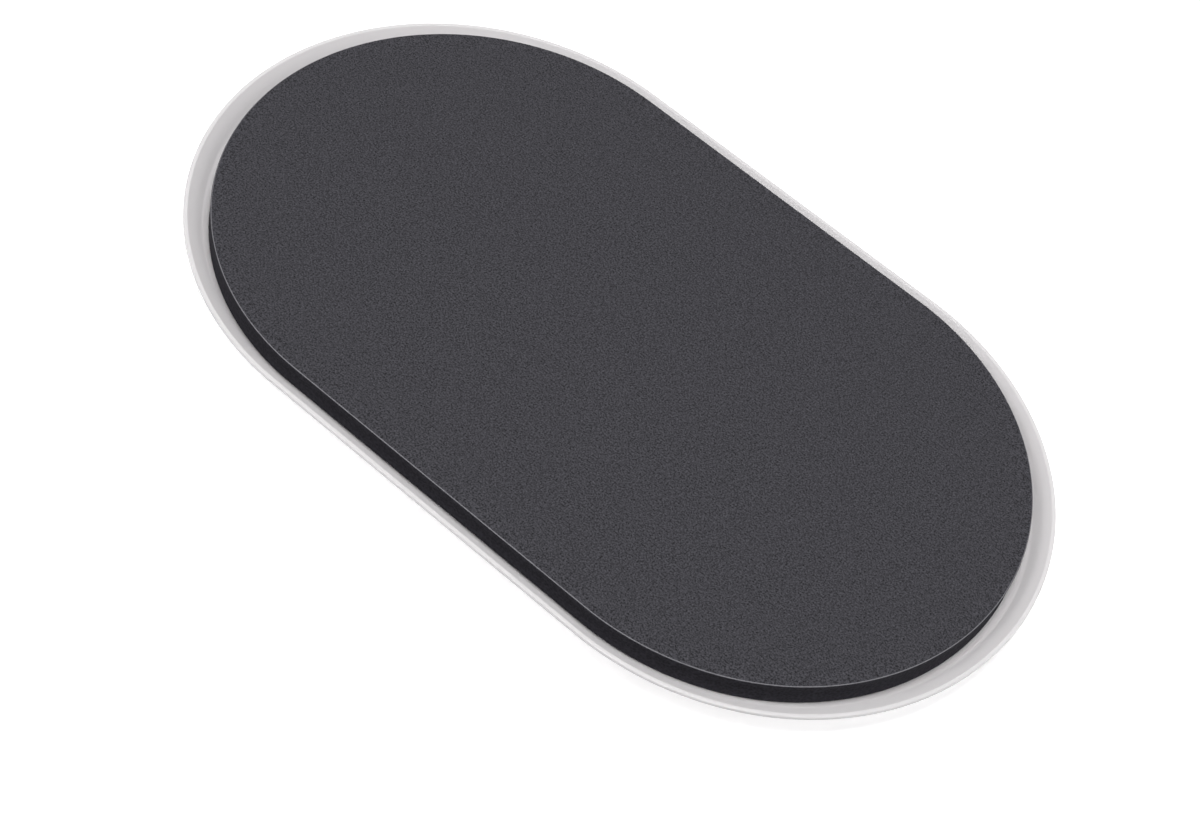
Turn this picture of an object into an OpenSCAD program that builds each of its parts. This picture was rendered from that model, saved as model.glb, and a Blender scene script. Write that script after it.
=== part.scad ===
// Furniture slider for carpet: a shallow moulded tray with a ski-shaped outside edge,
// and a thick foam pad bonded into it for the foot of the furniture to stand on.
// The origin is the middle of the sole, +X runs along the slider and +Z is up.

/* [Plan] */
// Overall length over the rim
shell_l = 241.3; // [200:0.1:300]
// Overall width over the rim
shell_w = 146.05; // [110:0.05:180]

/* [Shell] */
// Thickness of the floor
floor_t = 2.4; // [1.6:0.1:4]
// Depth of the tray, from the top of the rim down to the floor
tray_depth = 4.5; // [3.5:0.1:8]
// Thickness of the flared wall
wall_t = 1.6; // [1.4:0.1:2.4]
// Angle between the flared wall and the floor
wall_slope = 46; // [40:1:60]
// Radius of the rim's outer edge
rim_outer_r = 0.7; // [0.4:0.05:0.8]
// Radius of the rim's inner edge
rim_inner_r = 0.4; // [0.2:0.05:0.8]
// Radius of the ski edge between the sole and the flared wall
ski_r = 9; // [3:0.5:12]
// Radius of the cove between the floor and the flared wall
cove_r = 3.5; // [2:0.1:6]

/* [Pad] */
// Thickness of the foam
pad_t = 7; // [4:0.1:14]
// Radius of the foam's soft top edge
pad_edge_r = 0.4; // [0.2:0.1:1]
// How far the foam reaches past the flat of the floor and up the cove, along the sides
pad_side_lap = 2; // [0.1:0.1:3]
// How far it reaches past the flat of the floor at the ends
pad_end_lap = 0.1; // [0.1:0.1:3]

/* [Adhesive] */
// Thickness of the sheet that bonds the foam to the floor
sheet_t = 0.2; // [0.1:0.05:0.4]
// Clearance from the edge of the sheet to the cove
sheet_gap = 0.5; // [0.1:0.1:5]

/* [Hidden] */
$fn = 96;

// How deep the straight faces of the wall start inside their arcs, for one clean edge at each
tuck = 0.0005;

// Wall: its direction, leaning out as it rises, the direction that its outside faces, and its run per rise
wall_rise = [cos(wall_slope), sin(wall_slope)];
wall_out = [wall_rise.y, -wall_rise.x];
wall_run_share = wall_rise.x / wall_rise.y;

// Shell: heights, and the places of the four arcs of its section
shell_h = floor_t + tray_depth;
shell_half_w = shell_w / 2;
shell_straight = shell_l - shell_w;
rim_outer = [shell_half_w - rim_outer_r, shell_h - rim_outer_r];
rim_inner_z = shell_h - rim_inner_r;
rim_inner = [inner_x(rim_outer, rim_outer_r + rim_inner_r - wall_t, rim_inner_z), rim_inner_z];
ski = [inner_x(rim_outer, rim_outer_r - ski_r, ski_r), ski_r];
cove = [inner_x(rim_inner, -rim_inner_r - cove_r, floor_t + cove_r), floor_t + cove_r];

// Pad: it covers the flat of the floor, which ends where the cove starts
pad_half_w = cove.x + pad_side_lap;
pad_straight = shell_straight + 2 * (pad_end_lap - pad_side_lap);
pad_rise = sheet_t + pad_t;

// Distance from the middle at which a point of the given height lies the given step outside another one,
// measured square to the wall
function inner_x(from, step, height) = from.x + step / wall_out.x + (height - from.y) * wall_run_share;

// Sweeps a half section, drawn outwards from the middle, along straight sides and half-round ends
module obround(straight) {
    for (turn = [0, 180])
        rotate(turn)
            translate([straight / 2, 0, 0])
                rotate(-90)
                    rotate_extrude(angle = 180)
                        children();
    rotate([90, 0, 90])
        linear_extrude(straight, center = true) {
            children();
            mirror([1, 0]) children();
        }
}

module shell_section() {
    sole_end = [ski.x, 0];
    difference() {
        polygon([
            [0, 0],
            sole_end,
            ski + (ski_r - tuck) * wall_out,
            rim_outer + (rim_outer_r - tuck) * wall_out,
            rim_outer + [0, rim_outer_r],
            rim_inner + [0, rim_inner_r],
            rim_inner - (rim_inner_r - tuck) * wall_out,
            cove + (cove_r - tuck) * wall_out,
            [cove.x, floor_t],
            [0, floor_t],
        ]);
        translate(cove) circle(cove_r);
    }
    intersection() {
        translate(ski) circle(ski_r);
        polygon([sole_end, [shell_half_w, 0], rim_outer, ski + (ski_r - wall_t / 2) * wall_out]);
    }
    translate(rim_outer) circle(rim_outer_r);
    translate(rim_inner) circle(rim_inner_r);
}

// Space over the floor and the cove that the foam is pressed into, clear of both by the sheet's thickness
module seat_section() {
    seat_r = cove_r - sheet_t;
    translate([0, floor_t + sheet_t]) square([cove.x, pad_t]);
    translate(cove) circle(seat_r);
    translate([0, cove.y]) square([cove.x + seat_r, pad_t]);
}

// Die-cut plate from the floor up, before it is pressed into its seat
module pad_section() {
    edge = [pad_half_w - pad_edge_r, pad_rise - pad_edge_r];
    square([edge.x, pad_rise]);
    square([pad_half_w, edge.y]);
    translate(edge) circle(pad_edge_r);
}

module slider_shell() {
    color("whitesmoke")
        obround(shell_straight)
            shell_section();
}

module adhesive_sheet() {
    color("ivory")
        translate([0, 0, floor_t])
            obround(shell_straight)
                square([cove.x - sheet_gap, sheet_t]);
}

module foam_pad() {
    color("dimgray")
        intersection() {
            translate([0, 0, floor_t])
                obround(pad_straight)
                    pad_section();
            obround(shell_straight)
                seat_section();
        }
}

slider_shell();
adhesive_sheet();
foam_pad();
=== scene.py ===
"""A furniture slider for carpet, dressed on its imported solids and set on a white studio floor."""

import math

import bmesh
import bpy
from bpy.props import FloatProperty, FloatVectorProperty, IntProperty, PointerProperty
from mathutils import Matrix, Quaternion, Vector


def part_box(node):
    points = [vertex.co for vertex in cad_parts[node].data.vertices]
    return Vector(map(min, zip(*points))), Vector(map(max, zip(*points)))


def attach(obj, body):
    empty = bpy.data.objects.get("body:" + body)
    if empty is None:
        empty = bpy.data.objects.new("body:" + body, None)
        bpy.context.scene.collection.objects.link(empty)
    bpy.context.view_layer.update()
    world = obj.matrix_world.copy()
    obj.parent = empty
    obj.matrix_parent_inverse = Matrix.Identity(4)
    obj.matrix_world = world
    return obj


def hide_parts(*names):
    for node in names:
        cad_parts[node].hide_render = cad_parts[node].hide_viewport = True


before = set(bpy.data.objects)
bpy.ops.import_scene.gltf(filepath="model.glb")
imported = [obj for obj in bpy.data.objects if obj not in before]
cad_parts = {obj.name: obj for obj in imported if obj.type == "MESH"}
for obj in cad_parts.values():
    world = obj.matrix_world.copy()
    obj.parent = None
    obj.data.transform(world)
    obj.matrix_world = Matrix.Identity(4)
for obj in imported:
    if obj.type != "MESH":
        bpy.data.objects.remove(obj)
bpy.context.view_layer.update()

bl_info = {
    "name": "Furniture Slider",
    "version": (1, 0, 0),
    "blender": (4, 5, 0),
    "location": "View3D > Sidebar > Slider",
    "description": "Dresses the tray and the foam pad of a furniture slider and sets it in a white studio",
    "category": "Add Mesh",
}

MM = 0.001
WHITE = (1, 1, 1, 1)

# Material slots of the tray, and of the pad
POLISHED, MATT = 0, 1
# The pad's second slot holds a painted highlight along its rounded top edge
SKIN, PAINTED_HIGHLIGHT, CUT = 0, 1, 2

# Rise of a face's normal: above the first on a flat face, below the second on an upright one
FLAT_RISE = 0.999
UPRIGHT_RISE = 0.01

# Rise from which a face of the pad shows the skin, and from which it shows the painted highlight on the
# skin's rounded top edge
SKIN_RISE = 0.95
PAINTED_HIGHLIGHT_RISE = 0.6

# Angle between two faces of the pad from which the edge between them is rounded
SHARP_ANGLE = math.radians(60)

# Parts of the draw that the slopes of the pad's cut sides take, from each edge to the middle
DRAW_PARTS = (0.6, 0.4)

# Elevation and azimuth of each lamp, seen from the slider, in degrees
LAMP_PLACES = {"overhead": (90, 0), "right": (50, 0), "left": (50, 225), "under": (-90, 0)}


def linear(hex_colour):
    """Linear red, green and blue of an sRGB colour written as six hex digits."""
    channels = [int(hex_colour[start:start + 2], 16) / 255 for start in (0, 2, 4)]
    return tuple(c / 12.92 if c <= 0.04045 else ((c + 0.055) / 1.055) ** 2.4 for c in channels)


def colour(name, description, hex_colour):
    """A colour that a user can change, with its default as sRGB hex digits."""
    default = (*linear(hex_colour), 1)
    return FloatVectorProperty(
        name=name, description=description, subtype="COLOR", size=4, min=0, max=1, default=default
    )


def length(name, description, default):
    """A length that a user can change."""
    return FloatProperty(
        name=name, description=description, unit="LENGTH", min=0, precision=5, default=default
    )


def angle(name, description, degrees):
    """An angle that a user can change, with its default in degrees."""
    return FloatProperty(name=name, description=description, subtype="ANGLE", default=math.radians(degrees))


def factor(name, description, default):
    """A factor from 0 to 1 that a user can change."""
    return FloatProperty(name=name, description=description, subtype="FACTOR", min=0, max=1, default=default)


def power(name, description, watts):
    """A lamp's power that a user can change."""
    return FloatProperty(name=name, description=description, unit="POWER", min=0, default=watts)


def steps(name, description, default):
    """A number of straight runs that a user can change."""
    return IntProperty(name=name, description=description, min=1, default=default)


class ShellSettings(bpy.types.PropertyGroup):
    """Form and finish of the moulded tray"""

    rim_width: length("Rim Width", "Width of the flat top of the rim", 1 * MM)
    rim_depth: length("Rim Depth", "Height of the rim's upright outside", 0.98 * MM)
    rim_round: length("Rim Round", "Rounding of the rim's outer edge", 0.3 * MM)
    lip_round: length("Lip Round", "Rounding of the rim's other edges", 0.1 * MM)
    foot_in: length("Foot In", "From the outside to where the wall meets the floor of the tray", 5.6 * MM)
    foot_round: length("Foot Round", "Rounding of the cove there", 1.5 * MM)
    ski_in: length("Ski In", "From the outside to where the underside of the wall meets the sole", 5.715 * MM)
    ski_round: length("Ski Round", "Rounding of the ski edge there", 3.8 * MM)
    flat_in: length("Flat In", "From the outside to the flat faces of the floor and the sole", 12 * MM)
    outline_steps: steps("Outline Steps", "Straight runs in the round ends", 256)
    round_steps: steps("Round Steps", "Straight runs in each rounding", 8)
    tone: colour("Tone", "Off-white of the plastic", "eae7e8")
    flow_tone: colour("Flow Tone", "Faint clouds that the melt leaves", "e6e4e5")
    flow_size: length("Flow Size", "Width of the faint clouds", 28 * MM)
    ripple_size: length("Ripple Size", "Width of the ripple in the gloss", 7 * MM)
    ripple_depth: length("Ripple Depth", "Depth of the ripple in the gloss", 0.006 * MM)
    soak_depth: length("Soak Depth", "How far light soaks into the plastic", 1 * MM)
    soak_share: factor("Soak Share", "Share of the light that soaks in", 0.5)
    polished_roughness: factor("Polished Roughness", "Roughness of the outside and the rim", 0.16)
    matt_roughness: factor("Matt Roughness", "Roughness of the inside of the tray", 0.7)
    haze_spread: factor("Haze Spread", "How far the roughness strays either way", 0.04)


class FoamPadSettings(bpy.types.PropertyGroup):
    """Form and finish of the die-cut foam pad"""

    edge_radius: length("Edge Radius", "Radius of the soft top edge", 0.4 * MM)
    foot_radius: length("Foot Radius", "Radius of the lower edge", 0.2 * MM)
    foot_run: length("Foot Run", "Width of the underside that is lifted off the flat of the floor", 2 * MM)
    foot_rise: length("Foot Rise", "How far the lower edge rides up the cove along the sides", 0.68 * MM)
    side_draw: length("Side Draw", "How far the cut sides draw in at half height", 0.25 * MM)
    crown: length("Crown", "How far the middle of the top stands above its edge", 0.1 * MM)
    crown_run: length("Crown Run", "Width of the slope from the edge to the middle", 5 * MM)
    outline_steps: steps("Outline Steps", "Straight runs in the round ends", 256)
    edge_steps: steps("Edge Steps", "Straight runs in each rounded edge", 5)
    grain_size: length("Grain Size", "Width of a grain of the skin", 0.42 * MM)
    grain_depth: length("Grain Depth", "Depth of the skin's grain", 0.05 * MM)
    cell_size: length("Cell Size", "Width of a cell in the cut sides", 0.7 * MM)
    cell_depth: length("Cell Depth", "Depth of a cell in the cut sides", 0.12 * MM)
    skin_tone: colour("Skin Tone", "Charcoal of the skin", "08080a")
    grain_tone: colour("Grain Tone", "Lighter tops of the skin's grain", "57565c")
    # A pale tone painted on the rounded top edge as a highlight
    painted_highlight_tone: colour("Painted Highlight Tone", "Pale line painted along the rounded top edge as a highlight", "8c8b90")
    cut_tone: colour("Cut Tone", "Near-black of the cut sides", "29282c")
    wall_tone: colour("Cell Wall Tone", "Cell walls of the cut sides", "3e3d43")


class AdhesiveSettings(bpy.types.PropertyGroup):
    """Finish of the sheet under the pad"""

    tone: colour("Tone", "Cream of the adhesive", "e6e1d3")
    tissue_tone: colour("Tissue Tone", "Tissue that carries the adhesive", "f0ecdf")
    tissue_size: length("Tissue Size", "Length of the tissue's fibres", 2 * MM)


class StageSettings(bpy.types.PropertyGroup):
    """Floor, light and camera"""

    floor_tone: colour("Floor Tone", "White of the studio floor", "f5f5f5")
    floor_lift: factor("Floor Lift", "White that the floor adds where it is seen", 0.45)
    floor_reach: length("Floor Reach", "From the slider to the edge of the floor", 0.7)
    floor_gap: length("Floor Gap", "Room left under the sole", 0.05 * MM)
    aim: FloatVectorProperty(
        name="Aim", description="Point that the camera looks at", subtype="TRANSLATION", size=3,
        default=(12.53 * MM, -21.91 * MM, 6.9 * MM),
    )
    azimuth: angle("Azimuth", "Turn of the camera round the slider, from its long side", 26.359)
    elevation: angle("Elevation", "Height of the camera above the floor", 51.284)
    roll: angle("Roll", "Turn of the picture about the line of sight", 17.297)
    distance: length("Distance", "From the camera to the point it looks at", 614.51 * MM)
    lens: FloatProperty(name="Lens", description="Focal length", unit="CAMERA", default=76.422)
    ambient: factor("Ambient", "Light from all round", 0.06)
    lamp_reach: length("Lamp Reach", "From each lamp to the slider", 1.5)
    lamp_size: length("Lamp Size", "Width of each lamp", 0.7)
    overhead_power: power("Overhead Power", "Light from above", 15)
    right_power: power("Right Power", "Light from the right end", 3)
    left_power: power("Left Power", "Light from the front left", 5)
    under_power: power("Under Power", "Light on the sole", 10)


def add_node(tree, kind, settings=None, values=None, links=None):
    """Adds a node with its settings, socket values and links, and gives its first output.
    A socket goes by its name, or by its number where several share a name."""
    node = tree.nodes.new(kind)
    for name, value in (settings or {}).items():
        setattr(node, name, value)
    sockets = dict(enumerate(node.inputs))
    sockets.update((socket.name, socket) for socket in node.inputs if socket.enabled)
    for key, value in (values or {}).items():
        sockets[key].default_value = value
    for key, output in (links or {}).items():
        tree.links.new(output, sockets[key])
    return next((socket for socket in node.outputs if socket.enabled), None)


def new_material(name):
    """A material with an empty node tree, and its Object coordinates."""
    material = bpy.data.materials.new(name)
    material.use_nodes = True
    tree = material.node_tree
    tree.nodes.clear()
    place = tree.nodes.new("ShaderNodeTexCoord").outputs["Object"]
    return material, tree, place


def moulded_polypropylene(look, name, roughness):
    """Polypropylene: an even off-white that light soaks into, with faint clouds where the melt flowed.
    A polished mould gives a clear gloss and a ripple that reflections show, a blasted one a matt face."""
    material, tree, place = new_material(name)
    flow = add_node(
        tree, "ShaderNodeTexNoise",
        values={"Scale": 1 / look.flow_size, "Detail": 2}, links={"Vector": place},
    )
    tone = add_node(
        tree, "ShaderNodeMix", {"data_type": "RGBA"},
        {"A": look.tone, "B": look.flow_tone}, {"Factor": flow},
    )
    ripple = add_node(
        tree, "ShaderNodeTexNoise",
        values={"Scale": 1 / look.ripple_size, "Detail": 1}, links={"Vector": place},
    )
    haze = add_node(
        tree, "ShaderNodeMapRange",
        values={"To Min": roughness - look.haze_spread, "To Max": roughness + look.haze_spread},
        links={"Value": flow},
    )
    relief = add_node(
        tree, "ShaderNodeBump", values={"Distance": look.ripple_depth}, links={"Height": ripple}
    )
    surface = add_node(
        tree, "ShaderNodeBsdfPrincipled",
        values={
            "IOR": 1.49,
            "Subsurface Weight": look.soak_share,
            "Subsurface Radius": (1, 1, 1),
            "Subsurface Scale": look.soak_depth,
        },
        links={"Base Color": tone, "Roughness": haze, "Normal": relief},
    )
    add_node(tree, "ShaderNodeOutputMaterial", links={"Surface": surface})
    return material


def skinned_foam(look):
    """Closed-cell foam with its skin left on: matt charcoal with a fine, slightly lighter grain."""
    material, tree, place = new_material("skinned_eva_foam")
    grain = add_node(
        tree, "ShaderNodeTexNoise",
        values={"Scale": 1 / look.grain_size, "Detail": 2}, links={"Vector": place},
    )
    lightness = add_node(
        tree, "ShaderNodeMapRange", values={"From Min": 0.25, "From Max": 0.75}, links={"Value": grain}
    )
    tone = add_node(
        tree, "ShaderNodeMix", {"data_type": "RGBA"},
        {"A": look.skin_tone, "B": look.grain_tone}, {"Factor": lightness},
    )
    relief = add_node(
        tree, "ShaderNodeBump",
        values={"Strength": 0.5, "Distance": look.grain_depth}, links={"Height": grain},
    )
    surface = add_node(
        tree, "ShaderNodeBsdfPrincipled",
        values={"IOR": 1.48, "Roughness": 0.85, "Specular IOR Level": 0.2},
        links={"Base Color": tone, "Normal": relief},
    )
    add_node(tree, "ShaderNodeOutputMaterial", links={"Surface": surface})
    return material


def painted_highlight_foam(look):
    """The rounded top edge of the skin: a pale line painted on as a highlight, and smoother than the skin."""
    material, tree, place = new_material("pressed_eva_foam")
    grain = add_node(
        tree, "ShaderNodeTexNoise",
        values={"Scale": 1 / look.grain_size, "Detail": 2}, links={"Vector": place},
    )
    # Painted highlight: a pale tone on the rounded top edge, mottled by the grain
    tone = add_node(
        tree, "ShaderNodeMix", {"data_type": "RGBA"},
        {"A": look.grain_tone, "B": look.painted_highlight_tone}, {"Factor": grain},
    )
    surface = add_node(
        tree, "ShaderNodeBsdfPrincipled",
        values={"IOR": 1.48, "Roughness": 0.45}, links={"Base Color": tone},
    )
    add_node(tree, "ShaderNodeOutputMaterial", links={"Surface": surface})
    return material


def cut_foam(look):
    """Closed-cell foam where the die cut it: open cells that swallow the light, between paler walls.
    The cells are drawn coarser than real ones, which would be too fine to show."""
    material, tree, place = new_material("die_cut_eva_foam")
    cells = add_node(
        tree, "ShaderNodeTexVoronoi", values={"Scale": 1 / look.cell_size}, links={"Vector": place}
    )
    tone = add_node(
        tree, "ShaderNodeMix", {"data_type": "RGBA"},
        {"A": look.cut_tone, "B": look.wall_tone}, {"Factor": cells},
    )
    relief = add_node(
        tree, "ShaderNodeBump",
        values={"Strength": 0.6, "Distance": look.cell_depth}, links={"Height": cells},
    )
    surface = add_node(
        tree, "ShaderNodeBsdfPrincipled",
        values={"IOR": 1.48, "Roughness": 0.95, "Specular IOR Level": 0.1},
        links={"Base Color": tone, "Normal": relief},
    )
    add_node(tree, "ShaderNodeOutputMaterial", links={"Surface": surface})
    return material


def tissue_adhesive(look):
    """Acrylic adhesive on a tissue: a cream film with the tissue's pale fibres in it."""
    material, tree, place = new_material("tissue_adhesive")
    fibres = add_node(
        tree, "ShaderNodeTexNoise",
        values={"Scale": 1 / look.tissue_size, "Detail": 4, "Distortion": 2}, links={"Vector": place},
    )
    tone = add_node(
        tree, "ShaderNodeMix", {"data_type": "RGBA"},
        {"A": look.tone, "B": look.tissue_tone}, {"Factor": fibres},
    )
    surface = add_node(
        tree, "ShaderNodeBsdfPrincipled",
        values={"IOR": 1.47, "Roughness": 0.5}, links={"Base Color": tone},
    )
    add_node(tree, "ShaderNodeOutputMaterial", links={"Surface": surface})
    return material


def seen_directly(tree):
    """1 for a ray from the camera, a mirror or a glass, and 0 for light that falls on things."""
    path = tree.nodes.new("ShaderNodeLightPath").outputs
    seen = path["Is Camera Ray"]
    for kind in ("Is Glossy Ray", "Is Transmission Ray"):
        seen = add_node(tree, "ShaderNodeMath", {"operation": "MAXIMUM"}, links={0: seen, 1: path[kind]})
    return seen


def studio_white(look):
    """White paper sweep: it takes the slider's shadow, shows as white, and is seen through from below."""
    material, tree, _ = new_material("white_paper_sweep")
    paper = add_node(tree, "ShaderNodeBsdfDiffuse", values={"Color": look.floor_tone})
    strength = add_node(
        tree, "ShaderNodeMapRange", values={"To Max": look.floor_lift}, links={"Value": seen_directly(tree)}
    )
    lift = add_node(tree, "ShaderNodeEmission", links={"Strength": strength})
    lit = add_node(tree, "ShaderNodeAddShader", links={0: paper, 1: lift})
    clear = add_node(tree, "ShaderNodeBsdfTransparent")
    below = tree.nodes.new("ShaderNodeNewGeometry").outputs["Backfacing"]
    surface = add_node(tree, "ShaderNodeMixShader", links={0: below, 1: lit, 2: clear})
    add_node(tree, "ShaderNodeOutputMaterial", links={"Surface": surface})
    return material


def wear(piece, *materials):
    """Gives a piece its materials, in the order of its material slots."""
    slots = piece.data.materials
    while len(slots) < len(materials):
        slots.append(None)
    for place, material in enumerate(materials):
        slots[place] = material


def add_piece(scene, name, form):
    """Makes a form an object of the scene."""
    mesh = bpy.data.meshes.new(name)
    form.to_mesh(mesh)
    form.free()
    piece = bpy.data.objects.new(name, mesh)
    scene.collection.objects.link(piece)
    return piece


def part_ends(form, outline_steps, half_straight):
    """Draws a round form out to an obround: its halves move apart along X."""
    # Half a step of turn keeps the vertices off the middle, so the ends part there
    bmesh.ops.rotate(form, verts=form.verts, matrix=Matrix.Rotation(math.pi / outline_steps, 3, "Z"))
    for side in (-1, 1):
        end = [vert for vert in form.verts if vert.co.x * side > 0]
        bmesh.ops.translate(form, verts=end, vec=(side * half_straight, 0, 0))


def shell_form(look):
    """The tray: one section of cove, flared wall, rim and ski edge, swept round an obround."""
    low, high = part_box("slider_shell")
    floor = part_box("adhesive_sheet")[0].z
    half_width = high.y
    half_straight = high.x - half_width
    # Corners from the floor over the rim to the sole: distance in from the outside, height and rounding
    section = (
        (look.flat_in, floor, 0),
        (look.foot_in, floor, look.foot_round),
        (look.rim_width, high.z, look.lip_round),
        (0, high.z, look.rim_round),
        (0, high.z - look.rim_depth, look.lip_round),
        (look.ski_in, low.z, look.ski_round),
        (look.flat_in, low.z, 0),
    )
    form = bmesh.new()
    corners = [form.verts.new((half_width - inset, 0, height)) for inset, height, _ in section]
    for corner, following in zip(corners, corners[1:]):
        form.edges.new((corner, following))
    for corner, (_, _, rounding) in zip(corners, section):
        if rounding:
            bmesh.ops.bevel(
                form, geom=[corner], offset=rounding, affect="VERTICES",
                segments=look.round_steps, profile=0.5, material=-1,
            )
    bmesh.ops.spin(
        form, geom=form.verts[:] + form.edges[:], axis=(0, 0, 1), angle=math.tau,
        steps=look.outline_steps, use_merge=True,
    )
    part_ends(form, look.outline_steps, half_straight)
    bmesh.ops.holes_fill(form, edges=[edge for edge in form.edges if edge.is_boundary])
    bmesh.ops.recalc_face_normals(form, faces=form.faces)
    for face in form.faces:
        face.smooth = True
        middle = face.calc_center_median()
        reach = math.hypot(max(abs(middle.x) - half_straight, 0), middle.y)
        inside = face.normal.z > 0 and reach < half_width - look.rim_width
        face.material_index = MATT if inside else POLISHED
    return form


def upright_sides(form):
    """The faces of a form that stand upright."""
    return [face for face in form.faces if abs(face.normal.z) < UPRIGHT_RISE]


def lift_foot(form, look, middle, half_straight, half_width):
    """Lifts the lower edge of the pad up the cove along the sides, and less and less round the ends."""
    underside = [face for face in form.faces if face.normal.z < -FLAT_RISE]
    bmesh.ops.inset_region(form, faces=underside, thickness=look.foot_run, use_even_offset=True)
    for vert in {vert for face in upright_sides(form) for vert in face.verts if vert.co.z < middle}:
        end_run = max(abs(vert.co.x) - half_straight, 0) / half_width
        vert.co.z += look.foot_rise * (1 - end_run) ** 2
    form.normal_update()


def foam_pad_form(look):
    """The pad: an obround plate with soft edges, drawn-in cut sides and a slightly crowned top."""
    low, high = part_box("foam_pad")
    size = high - low
    middle = low.z + size.z / 2
    half_width = size.y / 2
    half_straight = (size.x - size.y) / 2
    form = bmesh.new()
    bmesh.ops.create_circle(form, cap_ends=True, segments=look.outline_steps, radius=half_width)
    part_ends(form, look.outline_steps, half_straight)
    bmesh.ops.translate(form, verts=form.verts, vec=(0, 0, low.z))
    raised = bmesh.ops.extrude_face_region(form, geom=form.faces[:])["geom"]
    top_verts = [part for part in raised if isinstance(part, bmesh.types.BMVert)]
    bmesh.ops.translate(form, verts=top_verts, vec=(0, 0, size.z - look.crown))
    bmesh.ops.recalc_face_normals(form, faces=form.faces)
    lift_foot(form, look, middle, half_straight, half_width)
    for side, radius in ((1, look.edge_radius), (-1, look.foot_radius)):
        edges = [
            edge for edge in form.edges
            if edge.calc_face_angle() > SHARP_ANGLE and (edge.verts[0].co.z - middle) * side > 0
        ]
        bmesh.ops.bevel(
            form, geom=edges, offset=radius, affect="EDGES",
            segments=look.edge_steps, profile=0.5, material=-1,
        )
    # The cut sides draw in over slopes of even height, with a plain band left between them
    sides = upright_sides(form)
    side_height = size.z - look.crown - look.edge_radius - look.foot_radius - look.foot_rise
    slope_height = side_height / (2 * len(DRAW_PARTS) + 1)
    for part in DRAW_PARTS:
        bmesh.ops.inset_region(
            form, faces=sides, thickness=slope_height, depth=-look.side_draw * part, use_even_offset=True
        )
    top = [face for face in form.faces if face.normal.z > FLAT_RISE]
    bmesh.ops.inset_region(form, faces=top, thickness=look.crown_run, depth=look.crown, use_even_offset=True)
    form.normal_update()
    for face in form.faces:
        face.smooth = True
        rise = face.normal.z
        # Faces of the rounded top edge get the painted highlight
        face.material_index = CUT if rise < PAINTED_HIGHLIGHT_RISE else PAINTED_HIGHLIGHT if rise < SKIN_RISE else SKIN
    return form


class BuildShell(bpy.types.Operator):
    """Builds the moulded tray"""

    bl_idname = "furniture_slider.build_shell"
    bl_label = "Build Shell"

    def execute(self, context):
        look = context.scene.slider_shell_look
        shell = add_piece(context.scene, "slider_shell_moulded", shell_form(look))
        wear(
            shell,
            moulded_polypropylene(look, "polished_polypropylene", look.polished_roughness),
            moulded_polypropylene(look, "matt_polypropylene", look.matt_roughness),
        )
        shell.modifiers.new("even_shading", "WEIGHTED_NORMAL")
        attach(shell, "root")
        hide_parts("slider_shell")
        return {"FINISHED"}


class FinishAdhesive(bpy.types.Operator):
    """Gives the sheet under the pad its adhesive"""

    bl_idname = "furniture_slider.finish_adhesive"
    bl_label = "Finish Adhesive"

    def execute(self, context):
        wear(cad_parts["adhesive_sheet"], tissue_adhesive(context.scene.slider_adhesive_look))
        return {"FINISHED"}


class BuildFoamPad(bpy.types.Operator):
    """Builds the die-cut foam pad in the tray"""

    bl_idname = "furniture_slider.build_foam_pad"
    bl_label = "Build Foam Pad"

    def execute(self, context):
        look = context.scene.slider_pad_look
        pad = add_piece(context.scene, "foam_pad_die_cut", foam_pad_form(look))
        wear(pad, skinned_foam(look), painted_highlight_foam(look), cut_foam(look))
        pad.modifiers.new("even_shading", "WEIGHTED_NORMAL")
        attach(pad, "root")
        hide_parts("foam_pad")
        return {"FINISHED"}


def add_floor(scene, look):
    """The floor under the sole, as far as the lamps light it evenly."""
    form = bmesh.new()
    bmesh.ops.create_grid(form, x_segments=1, y_segments=1, size=look.floor_reach)
    bmesh.ops.translate(form, verts=form.verts, vec=(0, 0, -look.floor_gap))
    floor = add_piece(scene, "studio_floor", form)
    wear(floor, studio_white(look))
    # Lets the lamp under the floor light the sole, as the floor is seen through from there
    floor.visible_shadow = False


def add_world(scene, look):
    """Even light from all round, which shows as plain white."""
    world = bpy.data.worlds.new("studio_surround")
    scene.world = world
    world.use_nodes = True
    tree = world.node_tree
    tree.nodes.clear()
    strength = add_node(
        tree, "ShaderNodeMapRange", values={"To Min": look.ambient, "To Max": 1},
        links={"Value": seen_directly(tree)},
    )
    light = add_node(tree, "ShaderNodeBackground", values={"Color": WHITE}, links={"Strength": strength})
    add_node(tree, "ShaderNodeOutputWorld", links={"Surface": light})


def add_softbox(scene, look, name, elevation, azimuth, watts):
    """A soft lamp that faces the slider and doesn't show itself to the camera. Angles are in degrees."""
    rise, turn = math.radians(elevation), math.radians(azimuth)
    out = Vector((math.cos(turn) * math.cos(rise), math.sin(turn) * math.cos(rise), math.sin(rise)))
    lamp = bpy.data.lights.new(name, "AREA")
    lamp.shape = "DISK"
    lamp.size = look.lamp_size
    lamp.energy = watts
    box = bpy.data.objects.new(name, lamp)
    box.location = out * look.lamp_reach
    box.rotation_mode = "QUATERNION"
    box.rotation_quaternion = (-out).to_track_quat("-Z", "Y")
    box.visible_camera = False
    scene.collection.objects.link(box)


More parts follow.
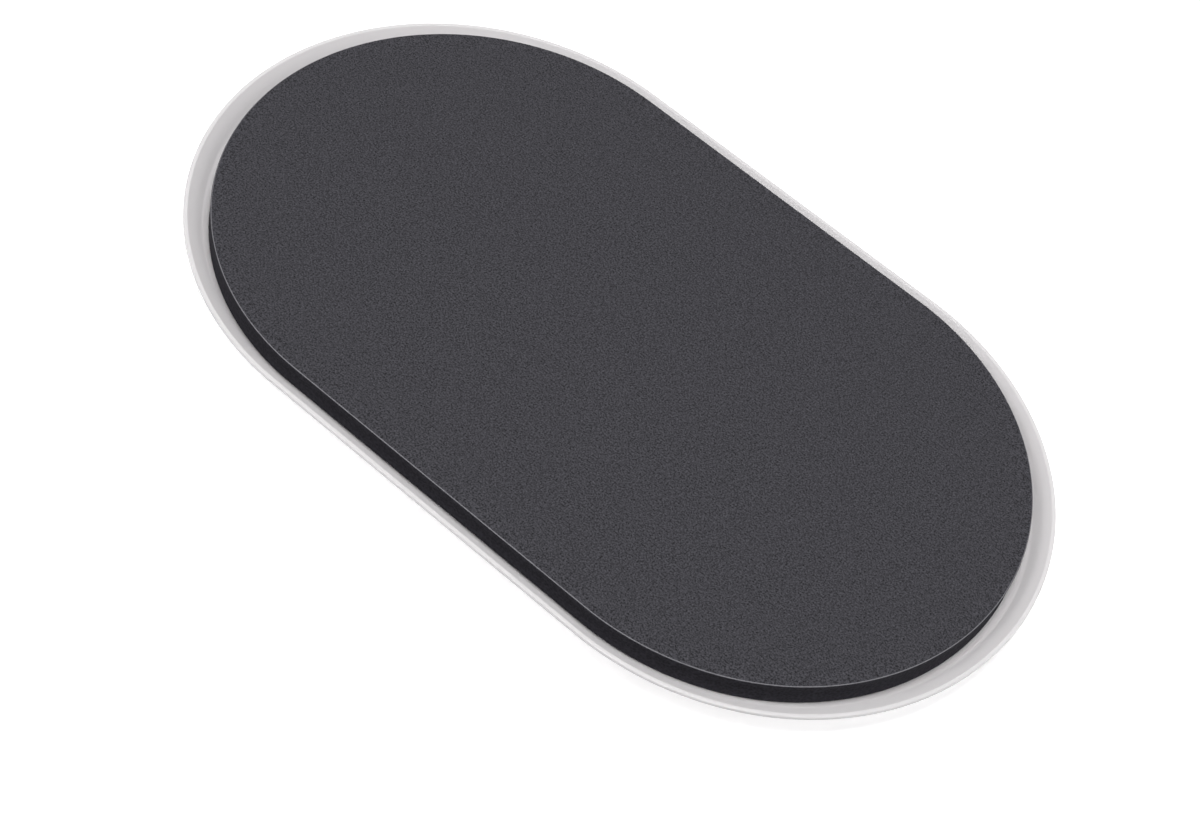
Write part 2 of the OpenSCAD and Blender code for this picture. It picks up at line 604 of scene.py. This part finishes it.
def add_camera(scene, look):
    """The camera, at the photograph's angle."""
    rise, run = math.sin(look.elevation), math.cos(look.elevation)
    back = Vector((math.sin(look.azimuth) * run, -math.cos(look.azimuth) * run, rise))
    lens = bpy.data.cameras.new("picture_camera")
    lens.lens = look.lens
    camera = bpy.data.objects.new("picture_camera", lens)
    camera.location = Vector(look.aim) + back * look.distance
    camera.rotation_mode = "QUATERNION"
    camera.rotation_quaternion = (-back).to_track_quat("-Z", "Y") @ Quaternion((0, 0, 1), look.roll)
    scene.collection.objects.link(camera)
    scene.camera = camera


class BuildStage(bpy.types.Operator):
    """Builds the floor, the light and the camera"""

    bl_idname = "furniture_slider.build_stage"
    bl_label = "Build Stage"

    def execute(self, context):
        scene = context.scene
        look = scene.slider_stage_look
        scene.view_settings.view_transform = "Standard"
        add_floor(scene, look)
        add_world(scene, look)
        for lamp, (elevation, azimuth) in LAMP_PLACES.items():
            add_softbox(scene, look, f"{lamp}_softbox", elevation, azimuth, getattr(look, f"{lamp}_power"))
        add_camera(scene, look)
        return {"FINISHED"}


class SliderPanel(bpy.types.Panel):
    """Steps of the furniture slider, in order"""

    bl_idname = "VIEW3D_PT_furniture_slider"
    bl_label = "Furniture Slider"
    bl_space_type = "VIEW_3D"
    bl_region_type = "UI"
    bl_category = "Slider"

    def draw(self, context):
        for step in STEPS:
            self.layout.operator(step.bl_idname)


STEPS = (BuildShell, FinishAdhesive, BuildFoamPad, BuildStage)
LOOKS = {
    "slider_shell_look": ShellSettings,
    "slider_adhesive_look": AdhesiveSettings,
    "slider_pad_look": FoamPadSettings,
    "slider_stage_look": StageSettings,
}


def register():
    """Registers the settings, the steps and the panel, and gives each scene its settings."""
    for group in (*LOOKS.values(), *STEPS, SliderPanel):
        bpy.utils.register_class(group)
    for name, group in LOOKS.items():
        setattr(bpy.types.Scene, name, PointerProperty(type=group))


def unregister():
    """Takes away what register added, in the opposite order."""
    for name in LOOKS:
        delattr(bpy.types.Scene, name)
    for group in (SliderPanel, *reversed(STEPS), *reversed(LOOKS.values())):
        bpy.utils.unregister_class(group)


def main():
    """Builds the slider and its stage."""
    register()
    bpy.ops.furniture_slider.build_shell()
    bpy.ops.furniture_slider.finish_adhesive()
    bpy.ops.furniture_slider.build_foam_pad()
    bpy.ops.furniture_slider.build_stage()


if __name__ == "__main__":
    main()
